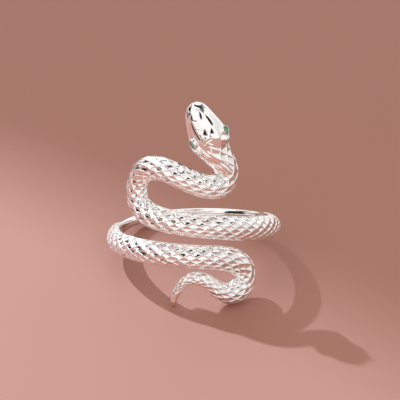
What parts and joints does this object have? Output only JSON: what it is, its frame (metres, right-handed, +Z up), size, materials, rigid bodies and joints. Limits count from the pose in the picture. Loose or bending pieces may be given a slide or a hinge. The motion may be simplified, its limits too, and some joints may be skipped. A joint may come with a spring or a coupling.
{
  "type": "snake ring",
  "caption": "Cast metal finger ring in the form of a coiled snake with a net of scales, its head raised and green stone eyes.",
  "frame": {"origin": "centre of the footprint's box, on the table that the ring rests on by itself", "axes": "+Z up from the table, -Y the front with the snake's head and tail, +X to the right as the front is looked at; the finger's axis leans back towards +Y"},
  "size_m": [0.0208, 0.0204, 0.0234],
  "materials": {
    "polished_silver": "polished",
    "green_stone": "gloss"
  },
  "bodies": {
    "root": {"snake": "polished_silver", "left_eye_stone": "green_stone", "right_eye_stone": "green_stone"}
  },
  "joints": []
}
